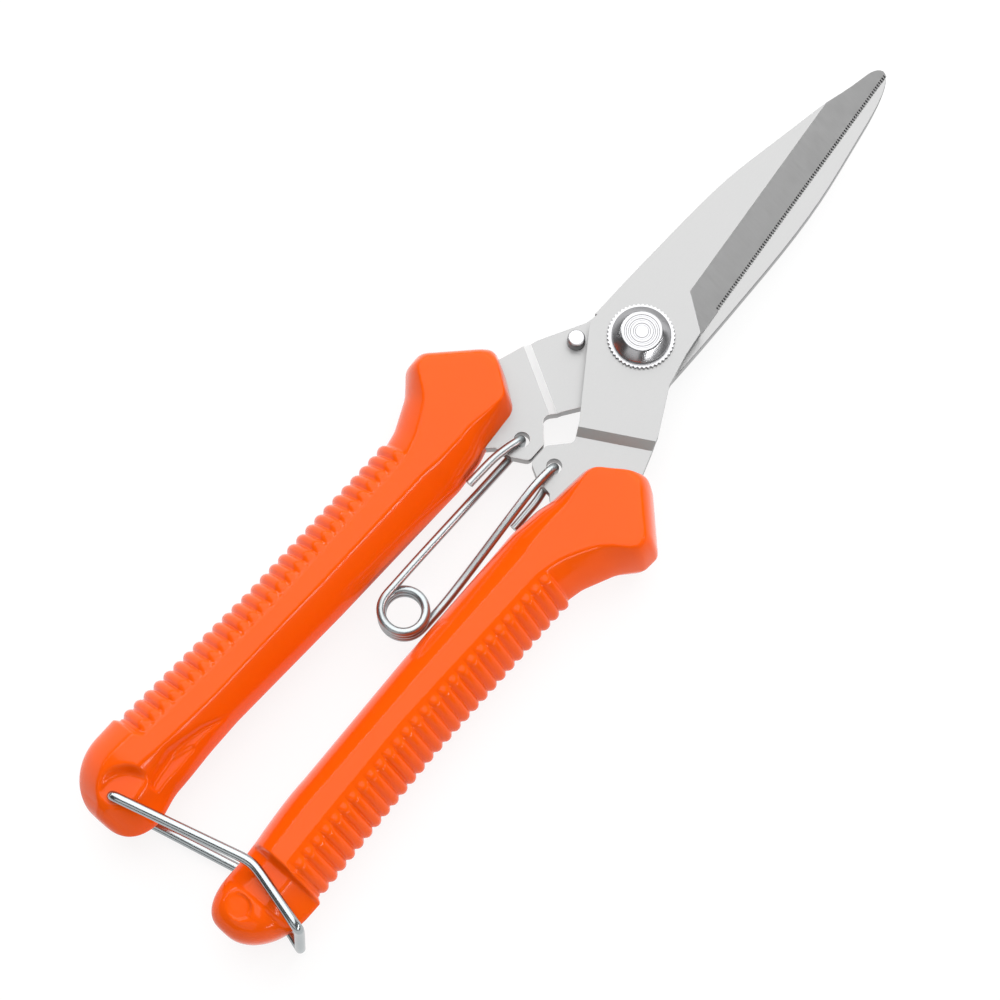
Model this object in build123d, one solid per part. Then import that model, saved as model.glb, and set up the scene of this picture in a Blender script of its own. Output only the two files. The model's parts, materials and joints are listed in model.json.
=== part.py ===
"""Floral snips: two joggled steel blades on a pivot bolt, moulded grips, a coil spring and a wire catch.

The snips lie flat on the backs of their grips. +X runs to the tips, +Z is up through the pivot
and +Y is towards the left grip. Everything is drawn about the pivot and moved to the origin
at the end. The two blades are one shape: the rear blade is the front blade turned over.
"""
from build123d import *
import math
import os

# Driving dimensions, mm, measured from the pivot where they are places.
plate = 2.5                # thickness of both blade blanks
blade_reach = 69.4         # pivot to the blade tips
blade_half = 9.0           # pivot to the spine beside it
rear_lift = 0.9            # the rear blade is this much broader towards its tip
edge_start = 7.6           # pivot to the heel of the cutting edge
edge_drop = 7.45           # the cutting edge at its heel lies this far below the pivot
tip_drop = 0.9             # and this far below it at the tip
bevel_width = 5.9          # width of the ground bevel
heel_run = 5.4             # the bevel's heel slants forward this much across its width
edge_land = 0.2            # steel left at the cutting edge
tooth_pitch = 0.55         # fine teeth on the front blade's edge
tooth_depth = 0.35
toothed_from = 13.5        # pivot to the first tooth
joggle_place = -22.2       # where the joggle's line crosses the middle of the snips
joggle_angle = 60.5        # the line's angle to that middle
joggle_run = 1.5           # length of the sloped step
tang_end = -76.0           # the tang's end inside the grip
hole_place = (-28.0, 3.75) # spring hole in the left lug, mirrored on the right
hole_radius = 1.4

pivot_radius = 3.0
running = 0.05             # radial running clearance of the front blade on the bolt
thread_radius = 2.0
head_radius = 5.3          # bolt head and cap nut
head_height = 1.9
washer_radius = 6.15
washer_tooth = 0.35
washer_teeth = 48
washer_height = 0.5
cap_height = 2.6
cap_wall = 0.9             # straight wall under the cap's cone
cap_flat_radius = 3.65
stop_radius = 1.6          # stop pin that the front blade closes against
stop_place = (-7.55, 8.65)
stop_height = 2.3          # how far it stands above the rear blade

grip_half = 8.0            # half the grip's thickness
grip_band = 1.6            # half the height of the upright band round its middle
flank = 5.2                # the flat faces are drawn in this far from the sides
grip_front = -19.3         # front corner of the grips
grip_end = -126.0          # far end of both grips
end_half = 5.6             # half thickness under the catch wire
thin_end = 14.2            # the right grip is that thin over this much of its end
rib_pitch = 2.35
rib_width = 1.5
rib_height = 0.9
rib_first = -46.0
rib_last_gap = 15.5        # the ribs stop this far before the end
seat_radius = 7.0          # round recess round the catch's pivot

spring_wire = 1.6
coil_centre = (-64.9, -1.1)
coil_radius = 3.9          # to the middle of the wire
coil_turns = 2.5
coil_pitch = 1.9
coil_split = 24.0          # degrees left open where the two half springs meet
spring_tail = 12.5         # cut end beyond the spring hole
tail_spread = 1.35         # how far the cut end stands off its leg

catch_wire = 1.8
catch_pivot = (-121.5, 13.7)
catch_elbow = (-114.3, -11.7)
catch_foot = (-117.5, -24.9)
rear_elbow = (-115.2, -12.0)   # the rear leg is bent a little wider and longer
rear_foot = (-119.4, -27.0)
catch_gap = 0.4            # between the catch wire and the grips' ends
catch_hole_depth = 3.0
catch_bend = 1.2

hook_radius = plate / 2 + 0.75 * spring_wire
catch_level = end_half + catch_gap + catch_wire / 2
joggle = math.radians(joggle_angle)
side = Plane.XZ


def prism(points, low, high):
    """A closed polygon in plan, raised from low to high."""
    return Pos(0, 0, low) * extrude(make_face(Polyline(*points, close=True)), high - low)


def rod(points, radius, bend=None):
    """Round wire through the given points, with its corners bent to a radius."""
    path = FilletPolyline(*points, radius=bend) if bend else Polyline(*points)
    section = Plane(origin=path @ 0, z_dir=path % 0) * Circle(radius)
    return sweep(section, path)


def soften(face, corners, radius):
    """A plan shape with the given corners rounded."""
    picked = [face.vertices().sort_by_distance(corner)[0] for corner in corners]
    return fillet(picked, radius)


def bevel_line(x):
    """Height of the cutting edge in plan at x."""
    share = (x - edge_start) / (blade_reach - edge_start)
    return -edge_drop + (edge_drop - tip_drop) * share


# ---- Blades -----------------------------------------------------------------------------

def blade_outline(spine_lift):
    """Plan of the front blade: leaf-shaped blade, then the lug and the tang in the grip."""
    spine = Spline(
        (-2.0, blade_half),
        (0.29 * blade_reach, blade_half - 0.45),
        (0.50 * blade_reach, blade_half - 1.4 + 0.3 * spine_lift),
        (0.66 * blade_reach, blade_half - 3.3 + spine_lift),
        (0.82 * blade_reach, blade_half - 5.3 + spine_lift),
        (0.93 * blade_reach, blade_half - 6.9 + spine_lift),
        (blade_reach, 0.0),
        tangents=[(1, 0), (0.3, -1)],
    )
    edge = Polyline(
        (blade_reach, 0.0),
        (blade_reach - 0.3, -tip_drop),
        (edge_start, -edge_drop),
        (2.9, -8.1),
        (-2.0, blade_half),
    )
    lug_x, lug_y = hole_place
    shoulder = (-3.4, blade_half)
    waist = [(-19.2, -2.0), (-22.4, -3.6)]
    lug = [(lug_x + 1.9, -0.2), (lug_x - 2.1, -0.2), (lug_x - 3.7, -lug_y + 0.7)]
    tang = make_face(Polyline(
        (8.0, 6.0),
        shoulder,
        *waist,
        *lug,
        (lug_x - 4.3, -lug_y - 2.6),
        (lug_x - 9.0, -11.0),
        (tang_end, -12.0),
        (tang_end, -15.4),
        (lug_x - 4.0, -18.2),
        (-19.4, -16.6),
        (-12.0, -14.1),
        (-3.6, -9.6),
        (2.9, -8.1),
        (12.0, -6.0),
        close=True,
    ))
    tang = soften(tang, [shoulder], 3.0)
    tang = soften(tang, waist + lug, 1.2)
    return make_face(spine + edge) + tang


def joggled_sheet():
    """The blank's thickness, flat over the blade and stepped down to the tang."""
    across = Vector(math.sin(joggle), math.cos(joggle), 0)
    along = Vector(math.cos(joggle), -math.sin(joggle), 0)
    station = Plane(origin=(joggle_place, 0, 0), x_dir=across, z_dir=along)
    step = joggle_run / 2
    far = 2 * blade_reach
    profile = station * make_face(Polyline(
        (-far, -plate / 2), (-step, -plate / 2), (step, 0), (far, 0),
        (far, plate), (step, plate), (-step, plate / 2), (-far, plate / 2), close=True,
    ))
    return extrude(profile, far, both=True)


def bevel_cut():
    """Wedge ground off the face, from the crease down to the edge, run out at the heel."""
    slope = math.atan2(edge_drop - tip_drop, blade_reach - edge_start)
    along = Vector(math.cos(slope), math.sin(slope), 0)
    up = Vector(-math.sin(slope), math.cos(slope), 0)
    start = Vector(edge_start, -edge_drop, 0)
    fall = (plate - edge_land) / bevel_width
    over = 2 * plate
    far = 1.5 * blade_reach
    corners = [
        (bevel_width, plate),
        (-over, edge_land - over * fall),
        (-over, plate + over),
        (bevel_width, plate + over),
    ]
    points = [start + up * q + Vector(0, 0, h) for q, h in corners]
    wedge = extrude(make_face(Polyline(*points, close=True)), far, dir=along)
    slant = along * heel_run + up * bevel_width
    ahead = [start - slant, start + slant * 2, start + slant * 2 + along * far, start - slant + along * far]
    return wedge & prism([(p.X, p.Y) for p in ahead], -plate, 2 * plate)


def tooth_cut():
    """One row of fine notches along the cutting edge."""
    count = int((blade_reach - 1.0 - toothed_from) / tooth_pitch)
    row = []
    for i in range(count):
        x = toothed_from + i * tooth_pitch
        row.append((x, bevel_line(x) - 0.02))
        row.append((x + tooth_pitch / 2, bevel_line(x) + tooth_depth))
    last = toothed_from + count * tooth_pitch
    row += [(last, bevel_line(last) - 3), (toothed_from, bevel_line(toothed_from) - 3)]
    return prism(row, -plate, 2 * plate)


def blade(spine_lift, bore, toothed):
    """One blade, front way up, its mating face at the middle plane."""
    body = extrude(blade_outline(spine_lift), 2 * plate, both=True) & joggled_sheet()
    body -= bevel_cut()
    if toothed:
        body -= tooth_cut()
    body -= Cylinder(bore, 4 * plate)
    body -= Pos(hole_place[0], -hole_place[1], 0) * Cylinder(hole_radius, 4 * plate)
    return body


turned_over = Rot(180, 0, 0)
front_blade = blade(0, pivot_radius + running, toothed=True)
rear_blade = turned_over * blade(rear_lift, pivot_radius, toothed=False)

# ---- Stop pin and pivot -------------------------------------------------------------------

stop_at = Pos(stop_place[0], stop_place[1], -plate)
stop_pin = stop_at * extrude(Circle(stop_radius), plate + stop_height)
stop_pin = chamfer(stop_pin.edges().sort_by(Axis.Z)[-1], 0.25)
rear_blade -= stop_at * extrude(Circle(stop_radius), plate)

shank_top = plate + washer_height
thread_top = shank_top + cap_height - 0.8
bolt_head = Pos(0, 0, -plate - head_height) * extrude(Circle(head_radius), head_height)
bolt_head = chamfer(bolt_head.edges().sort_by(Axis.Z)[0], 0.6)
bolt_shank = Pos(0, 0, -plate) * extrude(Circle(pivot_radius), plate + shank_top)
bolt_thread = Pos(0, 0, shank_top) * extrude(Circle(thread_radius), thread_top - shank_top)
pivot_bolt = bolt_head + bolt_shank + bolt_thread

cap_profile = Polyline(
    (0, shank_top), (head_radius, shank_top), (head_radius, shank_top + cap_wall),
    (cap_flat_radius, shank_top + cap_height), (0, shank_top + cap_height), close=True,
)
pivot_cap_nut = revolve(side * make_face(cap_profile), Axis.Z)
pivot_cap_nut -= Pos(0, 0, shank_top) * extrude(Circle(thread_radius), thread_top - shank_top)

rim = []
for i in range(2 * washer_teeth):
    reach = washer_radius - (washer_tooth if i % 2 else 0)
    turn = math.pi * i / washer_teeth
    rim.append((reach * math.cos(turn), reach * math.sin(turn)))
toothed_washer = prism(rim, plate, plate + washer_height)
toothed_washer -= Cylinder(pivot_radius, 4 * plate)

# ---- Grips --------------------------------------------------------------------------------

handle = rib_first - (grip_end + rib_last_gap)     # length of the ribbed stretch


def grip_outline(inset, outer_lift, end_points):
    """Plan of the left grip, drawn in by an inset at each station round it."""
    head = Polyline(
        (grip_front - 6.0 - 0.2 * inset, 8.1 + 0.30 * inset),
        (grip_front - 0.2 * inset, 16.5 + 0.12 * inset),
        (grip_front - 0.4 - 0.3 * inset, 19.6 - 0.12 * inset),
        (-28.4 - 0.04 * inset, 28.2 - 0.4 * inset),
        (-31.8 + 0.20 * inset, 28.0 - 0.4 * inset),
        (-35.5 - 0.2 * inset, 24.8 - 0.9 * inset),
        (rib_first + 4.5, 22.0 - 1.05 * inset + 0.3 * outer_lift),
        (rib_first, 21.3 - inset + outer_lift),
    )
    outer = Spline(
        (rib_first, 21.3 - inset + outer_lift),
        (rib_first - 0.55 * handle, 21.3 - inset + outer_lift),
        (rib_first - handle, 22.7 - inset + outer_lift),
    )
    (first, *rest) = end_points
    tail = Polyline((rib_first - handle, 22.7 - inset + outer_lift), first)
    round_end = Spline(first, *rest)
    inner = Spline(
        rest[-1],
        (rib_first - 0.8 * handle, 7.4 + 0.95 * inset),
        (rib_first - 0.4 * handle, 6.6 + inset),
        (rib_first, 6.0 + inset),
    )
    throat = Polyline(
        (rib_first, 6.0 + inset),
        (-33.0, 7.4 + 0.6 * inset),
        (grip_front - 6.0 - 0.2 * inset, 8.1 + 0.30 * inset),
    )
    return make_face(head + outer + tail + round_end + inner + throat)


def grip_shell(end_at, inset, outer_lift):
    """Upright band round the middle, drawn in to the flat faces above and below it."""
    band = grip_outline(0, outer_lift, end_at(0))
    face = grip_outline(inset, 0, end_at(inset))
    top = loft([Pos(0, 0, grip_band) * band, Pos(0, 0, grip_half) * face], ruled=True)
    return extrude(band, grip_band, both=True) + top + mirror(top, Plane.XY)


def left_end(inset):
    """Stations round the broad end that carries the catch."""
    draw = 0.75 * inset
    return [
        (grip_end + 12.5, 23.9 - inset),
        (grip_end + 4.6, 22.2 - draw),
        (grip_end + draw, 13.5),
        (grip_end + 4.2, 6.4 + draw),
        (grip_end + 17.0, 7.1 + inset),
    ]


def right_end(inset):
    """Stations round the narrow end that the catch closes over."""
    draw = 0.75 * inset
    return [
        (grip_end + 12.5, 23.9 - inset),
        (grip_end + 4.6, 21.8 - draw),
        (grip_end + 0.2 + draw, 15.0),
        (grip_end + 4.2, 10.0 + draw),
        (grip_end + 17.0, 8.5 + inset),
    ]


def ribs(shell):
    """Cross ribs: slices of a shell that stands proud on the outer side."""
    count = int(handle / rib_pitch) + 1
    slices = Part()
    for i in range(count):
        slices += Pos(rib_first - i * rib_pitch, 20, 0) * Box(rib_width, 20, 3 * grip_half)
    return shell & slices


def above(shape, level):
    """A plan shape cut away above a level and, mirrored, below it."""
    top = Pos(0, 0, level) * extrude(shape, 2 * grip_half)
    return top + mirror(top, Plane.XY)


left_plain = grip_shell(left_end, flank, 0) + ribs(grip_shell(left_end, flank, rib_height))
right_plain = grip_shell(right_end, flank, 0) + ribs(grip_shell(right_end, flank, rib_height))

seat = Pos(*catch_pivot) * Circle(seat_radius)
seat += Pos(grip_end + 1, catch_pivot[1] - 12) * Rectangle(2 * seat_radius + 10, 24)
left_grip = left_plain - above(seat, end_half)
catch_hole = Pos(*catch_pivot) * Cylinder(catch_wire / 2 + running, 4 * grip_half)
left_grip -= catch_hole
left_grip -= rear_blade

end_zone = Pos(grip_end, 0) * Rectangle(2 * thin_end, 8 * grip_half)
right_grip = mirror(right_plain - above(end_zone, end_half), Plane.XZ)
right_grip -= front_blade

# ---- Spring -------------------------------------------------------------------------------

half_turn = 180 * coil_turns                   # degrees of coil in each half
coil_top = coil_pitch * coil_turns / 2


def half_spring(centre):
    """Leg, hook through the left lug and cut end, with the upper half of the coil."""
    turned = half_turn - coil_split / 2
    rise = coil_pitch * turned / 360
    helix = Helix(pitch=coil_pitch, height=rise, radius=coil_radius, lefthand=True)
    helix = Pos(*centre, coil_top - rise) * Rot(0, 0, 90 + turned) * helix
    section = Plane(origin=helix @ 0, z_dir=helix % 0) * Circle(spring_wire / 2)
    coil = sweep(section, helix, is_frenet=True)
    leg_start = Vector(centre[0], centre[1] + coil_radius, coil_top)
    hole_x, hole_y = hole_place
    hook_x = hole_x + 0.15 - hook_radius
    leg = rod([leg_start, (hook_x, hole_y, -hook_radius)], spring_wire / 2)
    turn = ThreePointArc(
        (hook_x, hole_y, -hook_radius),
        (hook_x + hook_radius, hole_y, 0),
        (hook_x, hole_y, hook_radius),
    )
    bend_end = Vector(hook_x - 3, hole_y + 0.85 * tail_spread, hook_radius)
    hook = sweep(Plane(origin=turn @ 0, z_dir=turn % 0) * Circle(spring_wire / 2), turn)
    tail = rod([turn @ 1, bend_end, (hole_x - spring_tail, hole_y + tail_spread, hook_radius)],
               spring_wire / 2, bend=4.0)
    knuckle = Sphere(spring_wire / 2)
    joints = [Pos(*leg_start) * knuckle, Pos(*(turn @ 0)) * knuckle, Pos(*(turn @ 1)) * knuckle]
    return coil + leg + hook + tail + joints[0] + joints[1] + joints[2]


spring_left_arm = half_spring(coil_centre)
mirrored_centre = (coil_centre[0], -coil_centre[1])

# The other half is the same turned over: its leg lies in front of the right lug.
spring_right_arm = turned_over * half_spring(mirrored_centre)

# ---- Catch --------------------------------------------------------------------------------

upper = [(*catch_pivot, end_half - catch_hole_depth), (*catch_pivot, catch_level)]
upper += [(*catch_elbow, catch_level), (*catch_foot, catch_level)]
lower = [(*rear_foot, -catch_level), (*rear_elbow, -catch_level)]
lower += [(x, y, -z) for x, y, z in reversed(upper[:2])]
lock_bail = rod(upper + lower, catch_wire / 2, bend=catch_bend)

# ---- Move to the origin and write each piece ------------------------------------------------

pieces = {
    "front_blade": front_blade,
    "rear_blade": rear_blade,
    "stop_pin": stop_pin,
    "pivot_bolt": pivot_bolt,
    "pivot_cap_nut": pivot_cap_nut,
    "toothed_washer": toothed_washer,
    "left_grip": left_grip,
    "right_grip": right_grip,
    "spring_left_arm": spring_left_arm,
    "spring_right_arm": spring_right_arm,
    "lock_bail": lock_bail,
}
origin = Pos(-(blade_reach + grip_end) / 2, 0, grip_half)
os.makedirs("parts", exist_ok=True)
for name, piece in pieces.items():
    export_step(origin * piece, f"parts/{name}.step")
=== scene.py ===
"""Floral snips: toothed stainless blades, glossy ribbed grips, a coil spring and a wire catch."""
import json
import math

import bpy
import numpy as np
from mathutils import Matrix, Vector


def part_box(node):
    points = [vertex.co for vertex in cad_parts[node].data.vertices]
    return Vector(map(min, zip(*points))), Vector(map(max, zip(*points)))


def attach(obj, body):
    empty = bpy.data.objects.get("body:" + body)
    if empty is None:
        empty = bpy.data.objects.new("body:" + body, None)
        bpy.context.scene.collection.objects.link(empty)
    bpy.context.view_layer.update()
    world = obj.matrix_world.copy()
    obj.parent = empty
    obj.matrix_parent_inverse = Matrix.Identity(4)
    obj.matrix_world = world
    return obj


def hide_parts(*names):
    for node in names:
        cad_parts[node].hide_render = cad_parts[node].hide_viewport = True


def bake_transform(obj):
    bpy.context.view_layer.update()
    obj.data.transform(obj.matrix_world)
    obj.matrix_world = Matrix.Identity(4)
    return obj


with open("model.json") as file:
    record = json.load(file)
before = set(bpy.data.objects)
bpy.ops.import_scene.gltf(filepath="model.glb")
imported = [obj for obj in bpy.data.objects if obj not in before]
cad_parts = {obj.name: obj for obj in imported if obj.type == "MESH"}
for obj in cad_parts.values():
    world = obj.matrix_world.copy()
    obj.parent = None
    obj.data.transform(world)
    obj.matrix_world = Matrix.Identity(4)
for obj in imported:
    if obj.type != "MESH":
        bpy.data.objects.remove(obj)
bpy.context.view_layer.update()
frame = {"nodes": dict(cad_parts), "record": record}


# ---- Blades ------------------------------------------------------------------------------------
# Two blanks stamped from 2.5 mm stainless sheet and stepped at the tang in a press. Their flats
# are belt-ground along the blade, and the bevel is ground across its own face. The front blade's
# edge is toothed, and the roots of its fine teeth are painted near-black, painted shade for the
# shadow in the notches. The front blade's step has a darker copy of the press-marked steel,
# painted shade.

mm = 0.001


def eased_copy(node, ease, angle=28):
    """The CAD piece's own shape with its sharp edges eased, as a tumbled steel part has them."""
    bpy.ops.object.select_all(action="DESELECT")
    source = frame["nodes"][node]
    piece = bpy.data.objects.new(node + "_finished", source.data.copy())
    bpy.context.collection.objects.link(piece)
    bpy.context.view_layer.objects.active = piece
    piece.select_set(True)
    piece.data.materials.clear()
    bpy.ops.object.mode_set(mode="EDIT")
    bpy.ops.mesh.select_all(action="SELECT")
    bpy.ops.mesh.remove_doubles(threshold=0.002 * mm)
    bpy.ops.mesh.dissolve_limited(angle_limit=math.radians(0.5))
    bpy.ops.object.mode_set(mode="OBJECT")
    bevel = piece.modifiers.new("eased_edges", "BEVEL")
    bevel.width = ease
    bevel.segments = 2
    bevel.angle_limit = math.radians(angle)
    bpy.ops.object.modifier_apply(modifier=bevel.name)
    bpy.ops.object.shade_smooth_by_angle(angle=math.radians(angle))
    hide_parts(node)
    return piece


def steel(name, colour, roughness, grain, depth, spread=0.06):
    """Bare metal with a directional grain: long fine scratches that also break up the gloss."""
    material = bpy.data.materials.new(name)
    material.use_nodes = True
    nodes, links = material.node_tree.nodes, material.node_tree.links
    shader = nodes["Principled BSDF"]
    shader.inputs["Metallic"].default_value = 1.0
    place = nodes.new("ShaderNodeTexCoord")
    stretch = nodes.new("ShaderNodeMapping")
    stretch.inputs["Scale"].default_value = grain
    scratches = nodes.new("ShaderNodeTexNoise")
    scratches.inputs["Scale"].default_value = 1.0
    scratches.inputs["Detail"].default_value = 6.0
    scratches.inputs["Roughness"].default_value = 0.65
    gloss = nodes.new("ShaderNodeMapRange")
    gloss.inputs["To Min"].default_value = roughness - spread
    gloss.inputs["To Max"].default_value = roughness + spread
    shade = nodes.new("ShaderNodeMix")
    shade.data_type = "RGBA"
    shade.inputs["A"].default_value = [0.93 * c for c in colour] + [1]
    shade.inputs["B"].default_value = [min(1.0, 1.05 * c) for c in colour] + [1]
    relief = nodes.new("ShaderNodeBump")
    relief.inputs["Strength"].default_value = depth
    relief.inputs["Distance"].default_value = 0.02 * mm
    links.new(place.outputs["Object"], stretch.inputs["Vector"])
    links.new(stretch.outputs["Vector"], scratches.inputs["Vector"])
    links.new(scratches.outputs["Fac"], gloss.inputs["Value"])
    links.new(scratches.outputs["Fac"], shade.inputs["Factor"])
    links.new(scratches.outputs["Fac"], relief.inputs["Height"])
    links.new(gloss.outputs["Result"], shader.inputs["Roughness"])
    links.new(shade.outputs["Result"], shader.inputs["Base Color"])
    links.new(relief.outputs["Normal"], shader.inputs["Normal"])
    return material


flat_steel = steel("belt_ground_steel", (0.30, 0.30, 0.30), 0.38, (1800, 3800, 900), 0.60, spread=0.10)
bevel_steel = steel("wheel_ground_steel", (0.52, 0.52, 0.52), 0.36, (3200, 260, 900), 0.40)
pressed_steel = steel("press_marked_steel", (0.66, 0.66, 0.66), 0.60, (900, 900, 900), 0.30)
# Painted shade: a darker, bluish copy of the press-marked steel for the front blade's step, whose slope
# faces away from the light and takes the grips' orange bounce.
shaded_step_steel = steel("press_steel_painted_shade", (0.28, 0.33, 0.33), 0.60, (900, 900, 900), 0.30)
for finish in (pressed_steel, shaded_step_steel):
    finish.node_tree.nodes["Principled BSDF"].inputs["Metallic"].default_value = 0.25
# Where the painted tooth-root shade goes: one spot per tooth pitch along the front blade's toothed edge, up
# to a height above the edge.
tip_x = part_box("front_blade")[1][0]
edge_at_tip = -0.9 * mm
edge_fall = -0.106
toothed_length = 55.9 * mm
tooth_pitch = 0.55 * mm
root_shade_height = 0.60 * mm


def paint_tooth_root_shade(material):
    """Painted shade: a near-black spot in each tooth root along the cutting edge, for the shadow in the
    notches between the teeth.
    """
    nodes, links = material.node_tree.nodes, material.node_tree.links

    def calculate(operation, *values):
        node = nodes.new("ShaderNodeMath")
        node.operation = operation
        for socket, value in zip(node.inputs, values):
            if isinstance(value, float):
                socket.default_value = value
            else:
                links.new(value, socket)
        return node.outputs[0]

    place = nodes.new("ShaderNodeTexCoord")
    split = nodes.new("ShaderNodeSeparateXYZ")
    links.new(place.outputs["Object"], split.inputs["Vector"])
    from_tip = calculate("SUBTRACT", tip_x, split.outputs["X"])
    edge_line = calculate("MULTIPLY_ADD", from_tip, edge_fall, edge_at_tip)
    above_edge = calculate("SUBTRACT", split.outputs["Y"], edge_line)
    near_edge = calculate("LESS_THAN", above_edge, root_shade_height)
    toothed = calculate("LESS_THAN", from_tip, toothed_length)
    first_tooth = calculate("SUBTRACT", toothed_length, from_tip)
    phase = calculate("MULTIPLY_ADD", first_tooth, 2 * math.pi / tooth_pitch, -math.pi / 2)
    beat = calculate("SINE", phase)
    root = calculate("GREATER_THAN", beat, 0.0)
    dark = calculate("MULTIPLY", calculate("MULTIPLY", near_edge, toothed), root)
    shader = nodes["Principled BSDF"]
    steel_colour = shader.inputs["Base Color"].links[0].from_socket
    shade = nodes.new("ShaderNodeMix")
    shade.data_type = "RGBA"
    # Painted shade: the tooth-root spots are near-black.
    shade.inputs["B"].default_value = (0.02, 0.02, 0.02, 1)
    links.new(dark, shade.inputs["Factor"])
    links.new(steel_colour, shade.inputs["A"])
    links.new(shade.outputs["Result"], shader.inputs["Base Color"])


# The bevel's steel carries the painted shade in the tooth roots.
paint_tooth_root_shade(bevel_steel)


bevel_from = 28 * mm
tang_from = 20 * mm


def finish_blade(node, body, face_sign, step_finish_and_shade):
    """Belt-ground flats, a wheel-ground bevel, and on the tang's step the given steel: press-marked on the
    rear blade, a darker copy with painted shade on the front blade.
    """
    piece = eased_copy(node, 0.09 * mm)
    for finish in (flat_steel, bevel_steel, step_finish_and_shade):
        piece.data.materials.append(finish)
    for polygon in piece.data.polygons:
        rise = polygon.normal.z
        along = polygon.center.x
        if abs(rise) > 0.5:
            polygon.use_smooth = False
        if 0.80 < face_sign * rise < 0.975 and along > bevel_from:
            polygon.material_index = 1
        elif 0.5 < rise < 0.97 and along < tang_from:
            polygon.material_index = 2
    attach(piece, body)


# The front blade's step gets the darker copy of the press-marked steel, painted shade.
finish_blade("front_blade", "front_frame", 1, shaded_step_steel)
finish_blade("rear_blade", "rear_frame", -1, pressed_steel)


# ---- Stop pin ----------------------------------------------------------------------------------
# A short turned pin riveted through the rear blade, which the front blade's shoulder meets.

pin_steel = steel("turned_steel", (0.46, 0.46, 0.47), 0.30, (1500, 1500, 300), 0.25)
stop_pin = eased_copy("stop_pin", 0.12 * mm)
stop_pin.data.materials.append(pin_steel)
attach(stop_pin, "rear_frame")


# ---- Pivot -------------------------------------------------------------------------------------
# A flat-headed bolt from the back, a toothed lock washer and a plated cap nut on the front.
# The nut is turned: short wall, cone, flat top with plain rings cut into it.

bolt = eased_copy("pivot_bolt", 0.15 * mm)
bolt.data.materials.append(pin_steel)
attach(bolt, "rear_frame")

plating = steel("bright_plating", (0.40, 0.40, 0.41), 0.24, (900, 900, 900), 0.10, spread=0.05)
washer = eased_copy("toothed_washer", 0.06 * mm, angle=20)
washer.data.materials.append(pin_steel)
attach(washer, "rear_frame")


def turned(name, profile, centre, sides=96):
    """A lathe piece: a ring extruded and resized from one (radius, height) to the next."""
    bpy.ops.object.select_all(action="DESELECT")
    radius, height = profile[0]
    bpy.ops.mesh.primitive_circle_add(vertices=sides, radius=radius, location=(centre.x, centre.y, height))
    piece = bpy.context.object
    piece.name = name
    bpy.ops.object.transform_apply(location=True)
    bpy.ops.object.mode_set(mode="EDIT")
    bpy.ops.mesh.select_all(action="SELECT")
    for next_radius, next_height in profile[1:]:
        bpy.ops.mesh.extrude_edges_move(TRANSFORM_OT_translate={"value": (0, 0, next_height - height)})
        share = next_radius / radius
        bpy.ops.transform.resize(value=(share, share, 1), center_override=(centre.x, centre.y, next_height))
        radius, height = next_radius, next_height
    bpy.ops.mesh.select_all(action="SELECT")
    bpy.ops.mesh.remove_doubles(threshold=0.001 * mm)
    bpy.ops.mesh.fill_holes(sides=0)
    bpy.ops.mesh.normals_make_consistent(inside=False)
    bpy.ops.object.mode_set(mode="OBJECT")
    bpy.ops.object.shade_smooth_by_angle(angle=math.radians(35))
    return piece


cap_low, cap_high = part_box("pivot_cap_nut")
pivot = Vector(((cap_low[0] + cap_high[0]) / 2, (cap_low[1] + cap_high[1]) / 2, 0))
cap_base, cap_top = cap_low[2], cap_high[2]
cap_rim = (cap_high[0] - cap_low[0]) / 2
flat_rim = 3.65 * mm
wall_top = cap_base + 0.9 * mm
rings = []
for ring_radius in (2.95 * mm, 2.2 * mm, 1.35 * mm):
    rings += [
        (ring_radius + 0.22 * mm, cap_top - 0.02 * mm),
        (ring_radius + 0.12 * mm, cap_top - 0.15 * mm),
        (ring_radius - 0.12 * mm, cap_top - 0.15 * mm),
        (ring_radius - 0.22 * mm, cap_top - 0.02 * mm),
    ]
cap = turned("pivot_cap", [
    (cap_rim - 0.12 * mm, cap_base),
    (cap_rim, cap_base + 0.10 * mm),
    (cap_rim, wall_top - 0.12 * mm),
    (cap_rim - 0.06 * mm, wall_top),
    (cap_rim - 0.16 * mm, wall_top + 0.10 * mm),
    (flat_rim + 0.22 * mm, cap_top - 0.20 * mm),
    (flat_rim, cap_top - 0.06 * mm),
    (flat_rim - 0.22 * mm, cap_top - 0.01 * mm),
    *rings,
    (0.5 * mm, cap_top),
], pivot)
cap.data.materials.append(plating)
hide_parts("pivot_cap_nut")
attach(cap, "rear_frame")


# ---- Grips -------------------------------------------------------------------------------------
# Each grip is one glossy orange moulding shot round the tang: a narrow flat down front and back,
# ribs on the outer side, a round seat for the catch on the left grip and a knob on the right.
# The sizes here are millimetres, and the places are measured from the pivot.

rib_pitch = 2.35
rib_height = 1.0
ribs_from = -44.6
ribs_to = -111.0
grip_tip = -126.0
head_tip = -19.3
seat_x, seat_y, seat_floor = -120.2, 11.6, 5.8
knob_x, knob_y = -121.2, 14.6
half_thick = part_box("left_grip")[1][2] / mm / 2


def fade(x, low, high):
    """0 below low, 1 above high, with a soft change between them."""
    t = np.clip((x - low) / (high - low), 0, 1)
    return t * t * (3 - 2 * t)


def round_nose(x, start, tip, power):
    """1 up to the start of a rounded end, falling to 0 at its tip."""
    t = np.clip((x - start) / (tip - start), 0, 1)
    return (1 - t ** power) ** (1 / power)


def softened(x, places, values, radius):
    """A line through a few stations, with its corners rounded to about a radius."""
    total = 0
    offsets = np.linspace(-1, 1, 9)
    for offset in offsets:
        total = total + np.interp(x + radius * offset, places, values)
    return total / len(offsets)


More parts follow.
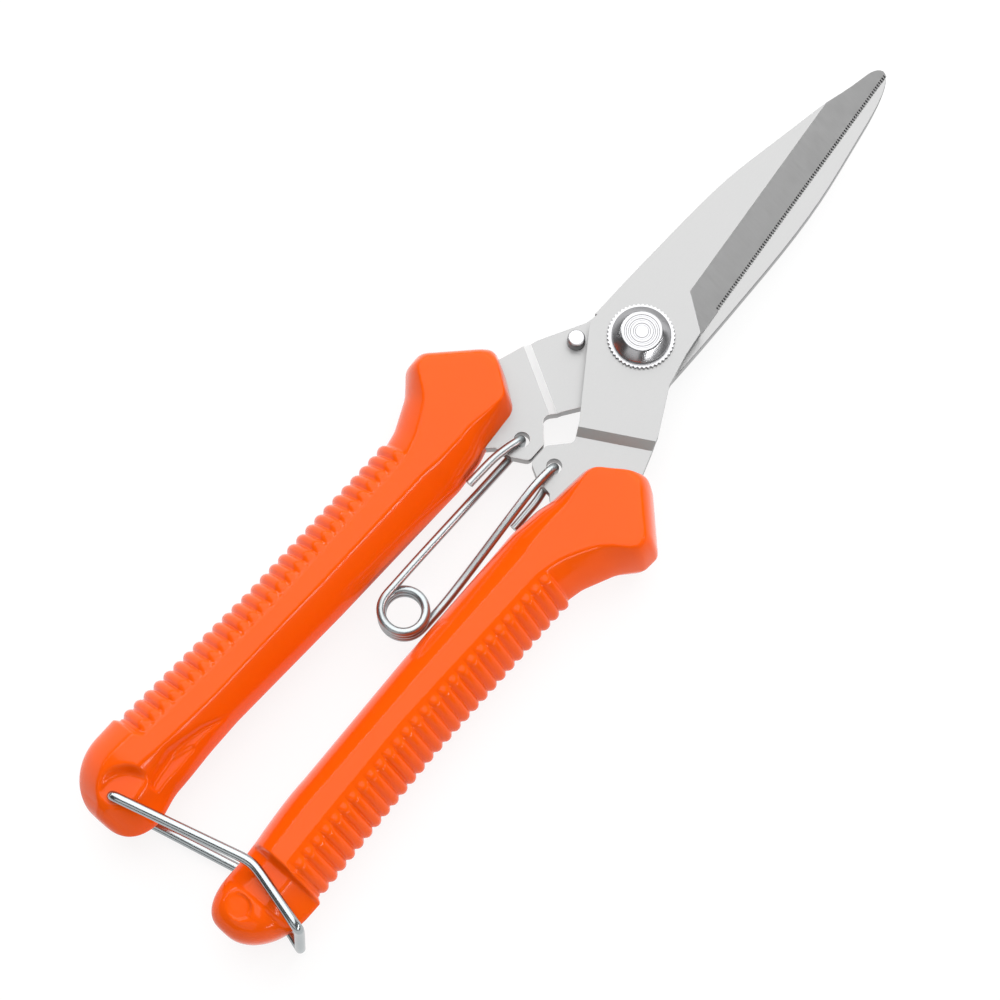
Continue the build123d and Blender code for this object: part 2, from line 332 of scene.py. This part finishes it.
def grip_rings(x, broad):
    """Inner side, outer side, the flat's two creases and its height at each station along a grip."""
    inner = softened(x, [-112, -98, -72, -46, -42, -36, -33, -25.8, -24.5, -21.3, -19.3],
                     [7.3, 7.6, 6.6, 6.1, 6.0, 6.6, 7.4, 8.0, 8.6, 13.0, 16.6], 0.5)
    outer = softened(x, [-111, -96, -80, -46, -41.5, -35.5, -31.8, -28.4, -19.8, -19.3],
                     [22.4, 21.6, 20.9, 20.9, 21.9, 24.7, 27.9, 28.1, 19.6, 18.2], 0.7)
    end = fade(-x, 110.6, 111.8)
    if broad:
        middle_line = 14.3
        low = middle_line - (7.3 + 1.3 * fade(-x, 113, 120.5)) * round_nose(-x, 116, 126, 3)
        high = middle_line + 9.6 * round_nose(-x, 116, 126, 2)
        join = fade(-x, 104, 114)
    else:
        middle_line = 15.3
        low = middle_line - (7.4 - 1.1 * fade(-x, 103, 116)) * round_nose(-x, 114.5, 126, 3)
        high = middle_line + 8.6 * round_nose(-x, 114.5, 126, 2)
        join = fade(-x, 98, 106)
    inner = inner * (1 - join) + low * join
    outer = outer * (1 - end) + high * end
    end_inset = [5.0, 6.0, 7.2, 6.0, 5.3] if broad else [4.0, 4.2, 4.4, 4.4, 4.6]
    inset_in = softened(x, [-126, -122, -117, -110, -105, -98, -80, -45, -35, -26, -23, -19.3],
                        [*end_inset, 4.6, 5.0, 5.4, 4.2, 2.0, 3.0, 2.0], 1.2)
    inset_out = softened(x, [-126, -110, -80, -46, -38, -34, -30.5, -28, -22, -19.3],
                         [5.0, 6.2, 6.1, 5.6, 5.3, 4.6, 2.8, 3.9, 3.9, 2.0], 0.8)
    width = outer - inner
    share = np.minimum(1, 0.86 * width / (inset_in + inset_out))
    height = half_thick * round_nose(x, -22.6, head_tip, 2)
    if broad:
        height = height * round_nose(-x, 111, 126, 2.6)
    else:
        height = height - 2.7 * fade(-x, 111.2, 112.2)
        height = height + 0.6 * fade(-x, 118.0, 119.2)
        height = height * round_nose(-x, 119.5, 126, 2.2)
    return inner, outer, inset_in * share, inset_out * share, height


def flank_arc(share, inset, height, last_slope):
    """A flank's run inwards and upwards: a few degrees of draft at the split, rounding over above."""
    draft = math.tan(math.radians(11))
    last = np.tan(last_slope)
    knee = np.clip((height * last - inset) / (last - draft), 0.15 * height, 0.93 * height)
    inwards = 2 * share * (1 - share) * knee * draft + share ** 2 * inset
    upwards = 2 * share * (1 - share) * knee + share ** 2 * height
    lean = np.arctan2(
        (1 - 2 * share) * knee * draft + share * inset,
        (1 - 2 * share) * knee + share * height,
    )
    return inwards, upwards, lean


def moulded_grip(name, side, broad):
    """A grid wrapped round the grip's stations, pressed in and out where the mould has its details."""
    along, flank, face = 620, 23, 14
    around = 2 * (2 * flank + face)
    bpy.ops.object.select_all(action="DESELECT")
    bpy.ops.mesh.primitive_grid_add(x_subdivisions=along, y_subdivisions=around, size=2)
    piece = bpy.context.object
    piece.name = name
    mesh = piece.data
    points = np.empty(3 * len(mesh.vertices))
    mesh.vertices.foreach_get("co", points)
    points = points.reshape(-1, 3)
    run = (points[:, 0] + 1) / 2
    column = np.rint((points[:, 1] + 1) / 2 * around)
    run = 0.75 * run + 0.25 * (1 - np.cos(math.pi * run)) / 2
    x = head_tip + (grip_tip - head_tip) * run
    inner, outer, inset_in, inset_out, height = grip_rings(x, broad)

    lower = column >= around // 2
    step = np.where(lower, around - column, column)
    on_inner = step <= flank
    on_outer = step >= flank + face
    from_split = np.where(on_inner, step, around // 2 - step) / flank
    head = fade(x, -36, -29)
    last_slope = np.radians(52 + 16 * head)
    inset = np.where(on_inner, inset_in, inset_out)
    inwards, upwards, lean = flank_arc(np.clip(from_split, 0, 1), inset, height, last_slope)
    across = np.clip((step - flank) / face, 0, 1)
    y = inner + inset_in + (outer - inset_out - inner - inset_in) * across
    y = np.where(on_inner, inner + inwards, y)
    y = np.where(on_outer, outer - inwards, y)
    z = np.where(on_inner | on_outer, upwards, height)
    bend = np.where(on_inner | on_outer, lean, math.pi / 2)

    beat = (ribs_from - x) / rib_pitch
    crest = np.abs(np.cos(math.pi * (beat % 1 - 0.5))) ** 0.5
    stretch = fade(-x, -ribs_from - 0.3, -ribs_from + 0.6) * (1 - fade(-x, -ribs_to - 0.4, -ribs_to + 0.1))
    reach = on_outer * (1 - fade(from_split, 0.84, 0.94))
    press = rib_height * crest * stretch * reach
    y = y + press * np.cos(bend)
    z = z + press * np.sin(bend)

    if broad:
        hollow_end = -98.2
        wall = np.interp(x, [-116.3, -115.2, -109.8, -106.4, -102.8, hollow_end],
                         [9.4, 11.0, 11.8, 11.2, 10.4, 8.6])
        floor = np.interp(x, [-116.3, -108, -103, hollow_end], [4.2, 4.6, 4.5, 3.4])
        pocket = (1 - fade(y - wall, -0.25, 0.25)) * fade(x, -116.6, -116.0) * (x < hollow_end)
        z = np.where(z > floor, z + (floor - z) * pocket, z)
        wall = np.interp(x, [-116.0, -110.6, -106.2], [10.2, 10.9, 9.6])
        deeper = (1 - fade(y - wall, -0.2, 0.2)) * fade(x, -116.2, -115.8) * fade(-x, 106.0, 106.6)
        z = np.where(z > floor - 0.6, z + (floor - 0.6 - z) * deeper, z)
        seat = 1 - fade(np.hypot(x - seat_x, y - seat_y), 4.0, 5.6)
        z = np.where(z > seat_floor, z + (seat_floor - z) * seat, z)
    else:
        middle_line = (inner + outer) / 2
        off_middle = np.minimum(1, np.abs(2 * (y - middle_line) / np.maximum(outer - inner, 0.001)))
        dome = height * (1 - off_middle ** 2.4) ** (1 / 2.4)
        z = z + (dome - z) * fade(-x, 116, 120.5)
        oval = 1 - fade(np.hypot((x - knob_x) / 2.1, (y - knob_y) / 2.4), 0.92, 1.0)
        facet = 5.15 + 0.10 * (x - knob_x)
        z = np.where(z > facet, z + (facet - z) * oval, z)
    points[:, 0] = x
    points[:, 1] = side * y
    points[:, 2] = np.where(lower, -z, z)
    points = points * mm + np.array([pivot.x, pivot.y, half_thick * mm])
    mesh.vertices.foreach_set("co", points.ravel())
    mesh.update()

    bpy.ops.object.mode_set(mode="EDIT")
    bpy.ops.mesh.select_all(action="SELECT")
    bpy.ops.mesh.remove_doubles(threshold=0.01 * mm)
    bpy.ops.mesh.fill_holes(sides=0)
    bpy.ops.mesh.normals_make_consistent(inside=False)
    bpy.ops.object.mode_set(mode="OBJECT")
    soften = piece.modifiers.new("mould_radii", "SMOOTH")
    soften.factor = 0.5
    soften.iterations = 4
    bpy.ops.object.modifier_apply(modifier=soften.name)
    bpy.ops.object.shade_smooth()
    return piece


def glossy_plastic(name, light, dark):
    """Pigmented moulding: slight colour drift, faint orange-peel and uneven gloss from handling."""
    material = bpy.data.materials.new(name)
    material.use_nodes = True
    nodes, links = material.node_tree.nodes, material.node_tree.links
    shader = nodes["Principled BSDF"]
    shader.inputs["IOR"].default_value = 1.5
    shader.inputs["Specular IOR Level"].default_value = 0.16
    shader.inputs["Subsurface Weight"].default_value = 0.06
    shader.inputs["Subsurface Radius"].default_value = (0.0012, 0.0004, 0.0002)
    place = nodes.new("ShaderNodeTexCoord")
    drift = nodes.new("ShaderNodeTexNoise")
    drift.inputs["Scale"].default_value = 55.0
    drift.inputs["Detail"].default_value = 0.0
    shade = nodes.new("ShaderNodeMix")
    shade.data_type = "RGBA"
    shade.inputs["A"].default_value = (*dark, 1)
    shade.inputs["B"].default_value = (*light, 1)
    gloss = nodes.new("ShaderNodeMapRange")
    gloss.inputs["To Min"].default_value = 0.10
    gloss.inputs["To Max"].default_value = 0.17
    peel = nodes.new("ShaderNodeTexNoise")
    peel.inputs["Scale"].default_value = 900.0
    peel.inputs["Detail"].default_value = 2.0
    relief = nodes.new("ShaderNodeBump")
    relief.inputs["Strength"].default_value = 0.12
    relief.inputs["Distance"].default_value = 0.05 * mm
    for texture in (drift, peel):
        links.new(place.outputs["Object"], texture.inputs["Vector"])
    links.new(drift.outputs["Fac"], shade.inputs["Factor"])
    links.new(drift.outputs["Fac"], gloss.inputs["Value"])
    links.new(peel.outputs["Fac"], relief.inputs["Height"])
    links.new(shade.outputs["Result"], shader.inputs["Base Color"])
    links.new(gloss.outputs["Result"], shader.inputs["Roughness"])
    links.new(relief.outputs["Normal"], shader.inputs["Normal"])
    return material


orange = glossy_plastic("orange_moulding", (0.82, 0.092, 0.002), (0.79, 0.083, 0.0015))
grips = (("left_grip", "rear_frame", 1, True), ("right_grip", "front_frame", -1, False))
for name, body, side, broad in grips:
    grip = moulded_grip(name + "_moulding", side, broad)
    grip.data.materials.append(orange)
    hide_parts(name)
    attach(grip, body)


# ---- Return spring -----------------------------------------------------------------------------
# One length of 1.6 mm bright spring wire: a coil with two long legs, each hooked through a lug
# and cut off short.

drawn_steel = steel("drawn_spring_wire", (0.38, 0.41, 0.42), 0.34, (300, 300, 300), 0.0, spread=0.04)


def drawn_wire(name, places, radius):
    """Round wire along a smooth path through the given places, closed at both cut ends."""
    curve = bpy.data.curves.new(name, "CURVE")
    curve.dimensions = "3D"
    line = curve.splines.new("NURBS")
    line.points.add(len(places) - 1)
    for point, place in zip(line.points, places):
        point.co = (*place, 1)
    line.order_u = 3
    line.use_endpoint_u = True
    curve.resolution_u = 6
    curve.bevel_depth = radius
    curve.bevel_resolution = 6
    curve.use_fill_caps = True
    piece = bpy.data.objects.new(name, curve)
    bpy.context.collection.objects.link(piece)
    bpy.ops.object.select_all(action="DESELECT")
    bpy.context.view_layer.objects.active = piece
    piece.select_set(True)
    bpy.ops.object.convert(target="MESH")
    piece = bpy.context.object
    bpy.ops.object.mode_set(mode="EDIT")
    bpy.ops.mesh.select_all(action="SELECT")
    bpy.ops.mesh.remove_doubles(threshold=0.002 * mm)
    bpy.ops.mesh.normals_make_consistent(inside=False)
    bpy.ops.object.mode_set(mode="OBJECT")
    bpy.ops.object.shade_smooth_by_angle(angle=math.radians(40))
    return piece


joints = {joint["name"]: joint for joint in frame["record"]["behaviour"]["joints"]}
left_hole = Vector(joints["spring_left_swing"]["pos_m"])
coil = Vector(joints["spring_coil_twist"]["pos_m"])
middle = left_hole.z
wire = 0.8 * mm
coil_radius = 3.9 * mm
coil_turns = 2.5
coil_rise = 4.75 * mm
hook = 2.45 * mm


def half_leg(side):
    """Cut end, hook through the lug and the start of the long leg, for one side of the snips."""
    hole_y = pivot.y + side * (left_hole.y - pivot.y)
    bend_x = left_hole.x + 0.15 * mm - hook
    places = [
        (left_hole.x - 12.5 * mm, hole_y + side * 1.40 * mm, middle + side * hook),
        (left_hole.x - 9.0 * mm, hole_y + side * 1.32 * mm, middle + side * hook),
        (left_hole.x - 5.8 * mm, hole_y + side * 1.20 * mm, middle + side * hook),
        (bend_x - 0.4 * mm, hole_y + side * 0.60 * mm, middle + side * hook),
    ]
    for turn in (60, 25, -25, -60):
        angle = math.radians(turn)
        places.append((
            bend_x + 1.06 * hook * math.cos(angle),
            hole_y + side * 0.1 * mm,
            middle + side * 1.06 * hook * math.sin(angle),
        ))
    places += [
        (bend_x - 1.2 * mm, hole_y, middle - side * hook),
        (bend_x - 5.0 * mm, hole_y, middle - side * 0.93 * hook),
    ]
    return places


left_leg = half_leg(1)
right_leg = half_leg(-1)
turns = []
count = 40
for i in range(count + 1):
    share = i / count
    angle = math.radians(90 + 360 * coil_turns * share)
    turns.append((
        coil.x + coil_radius * 1.012 * math.cos(angle),
        coil.y + coil_radius * 1.012 * math.sin(angle),
        middle + coil_rise * (0.5 - share),
    ))
ease_in = [
    (coil.x + 14 * mm, coil.y + coil_radius + 0.25 * mm, middle + 0.62 * coil_rise / 2),
    (coil.x + 7 * mm, coil.y + coil_radius + 0.15 * mm, middle + 0.88 * coil_rise / 2),
    (coil.x + 2 * mm, coil.y + coil_radius + 0.03 * mm, middle + 1.0 * coil_rise / 2),
]
ease_out = [
    (coil.x + 2 * mm, coil.y - coil_radius - 0.03 * mm, middle - 1.0 * coil_rise / 2),
    (coil.x + 6 * mm, coil.y - coil_radius - 0.05 * mm, middle - 0.90 * coil_rise / 2),
    (coil.x + 12 * mm, coil.y - coil_radius + 0.25 * mm, middle - 0.66 * coil_rise / 2),
]
spring = drawn_wire("return_spring", left_leg + ease_in + turns + ease_out + right_leg[::-1], wire)
spring.data.materials.append(drawn_steel)
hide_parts("spring_left_arm", "spring_right_arm")
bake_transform(spring)


# ---- Catch -------------------------------------------------------------------------------------
# A bail bent from 1.8 mm bright wire. Its two ends spring into the left grip, and its foot
# closes over the right grip's end to hold the snips shut.

bail_pivot = Vector(joints["bail_swing"]["pos_m"])
bail_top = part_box("lock_bail")[1][2]
bail_wire = 0.9 * mm
bail_level = bail_top - middle - bail_wire


def bail_side(sign, elbow, foot):
    """One leg of the bail, from its end in the grip to the middle of its foot."""
    down = (elbow - bail_pivot).normalized()
    on = (foot - elbow).normalized()
    stations = [
        (bail_pivot, bail_level - 4.2 * mm),
        (bail_pivot, bail_level - 2.0 * mm),
        (bail_pivot, bail_level),
        (bail_pivot + down * 3 * mm, bail_level),
        (bail_pivot + down * 12 * mm, bail_level),
        (elbow - down * 4.5 * mm, bail_level),
        (elbow - down * 1.0 * mm, bail_level),
        (elbow + on * 1.0 * mm, bail_level),
        (elbow + on * 4.5 * mm, bail_level),
        (foot - on * 3.5 * mm, bail_level),
        (foot - on * 0.2 * mm, bail_level - 0.1 * mm),
        (foot, bail_level - 2.5 * mm),
    ]
    return [(place.x, place.y, middle + sign * level) for place, level in stations]


front_elbow = bail_pivot + Vector((7.2, -25.4, 0)) * mm
front_foot = bail_pivot + Vector((4.0, -38.6, 0)) * mm
rear_elbow = bail_pivot + Vector((6.3, -25.7, 0)) * mm
rear_foot = bail_pivot + Vector((2.3, -39.4, 0)) * mm
front_leg = bail_side(1, front_elbow, front_foot)
rear_leg = bail_side(-1, rear_elbow, rear_foot)
bail = drawn_wire("lock_bail_wire", front_leg + rear_leg[::-1], bail_wire)
bright_wire = steel("bright_catch_wire", (0.38, 0.41, 0.42), 0.22, (300, 300, 300), 0.0, spread=0.04)
bail.data.materials.append(bright_wire)
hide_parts("lock_bail")
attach(bail, "lock_bail")


# ---- Floor, light and camera -------------------------------------------------------------------
# A white paper sweep under one large softbox. Two narrow strips draw the pale lines along the
# grips' edges, and three cards lift the ends and the undersides of the wires.

bpy.ops.object.select_all(action="DESELECT")
bpy.ops.mesh.primitive_plane_add(size=4.0, location=(0, 0, -0.0002))
floor = bpy.context.object
floor.name = "pale_floor"
paper = bpy.data.materials.new("white_paper")
paper.use_nodes = True
paper_shader = paper.node_tree.nodes["Principled BSDF"]
paper_shader.inputs["Base Color"].default_value = (0.12, 0.12, 0.12, 1)
paper_shader.inputs["Roughness"].default_value = 0.9
paper_shader.inputs["Emission Color"].default_value = (1, 1, 1, 1)
paper_shader.inputs["Emission Strength"].default_value = 0.86
floor.data.materials.append(paper)

bpy.context.scene.view_settings.view_transform = "Standard"
surroundings = bpy.data.worlds.new("studio")
surroundings.use_nodes = True
background = surroundings.node_tree.nodes["Background"]
background.inputs["Color"].default_value = (1, 1, 1, 1)
background.inputs["Strength"].default_value = 0.10
bpy.context.scene.world = surroundings


def softbox(name, place, aim, width, height, power):
    """A rectangular soft light turned towards a point."""
    lamp = bpy.data.lights.new(name, "AREA")
    lamp.shape = "RECTANGLE"
    lamp.size = width
    lamp.size_y = height
    lamp.energy = power
    light = bpy.data.objects.new(name, lamp)
    light.location = place
    light.rotation_euler = (Vector(aim) - Vector(place)).to_track_quat("-Z", "Y").to_euler()
    bpy.context.collection.objects.link(light)


softbox("tent_roof", (1.25, 1.05, 1.0), (1.25, 1.05, 0), 3.0, 2.8, 70)
softbox("front_strip", (0.1, -0.95, 0.50), (0, 0, 0), 1.6, 0.06, 6)
softbox("back_strip", (0.1, 0.95, 0.42), (0, 0, 0), 1.4, 0.05, 1.8)
softbox("far_card", (0.9, 0.1, 0.16), (0, 0, 0.02), 1.2, 0.30, 1.4)
softbox("fill_card", (-0.95, -0.2, 0.70), (0, 0, 0), 0.9, 0.7, 2)
softbox("near_card", (-0.9, -0.75, 0.10), (0, 0, 0.02), 1.4, 0.18, 0.7)

aim = Vector((pivot.x - 0.03863, pivot.y - 0.00038, middle))
distance = 0.4561
tilt = math.radians(16)
heading = math.radians(49)
toward_top = Vector((math.sin(heading), math.cos(heading), 0))
eye = aim - toward_top * distance * math.sin(tilt) + Vector((0, 0, distance * math.cos(tilt)))
lens = bpy.data.cameras.new("camera")
lens.sensor_width = 36
lens.lens = 93.6
camera = bpy.data.objects.new("camera", lens)
camera.location = eye
camera.rotation_euler = (aim - eye).to_track_quat("-Z", "Y").to_euler()
bpy.context.collection.objects.link(camera)
bpy.context.scene.camera = camera
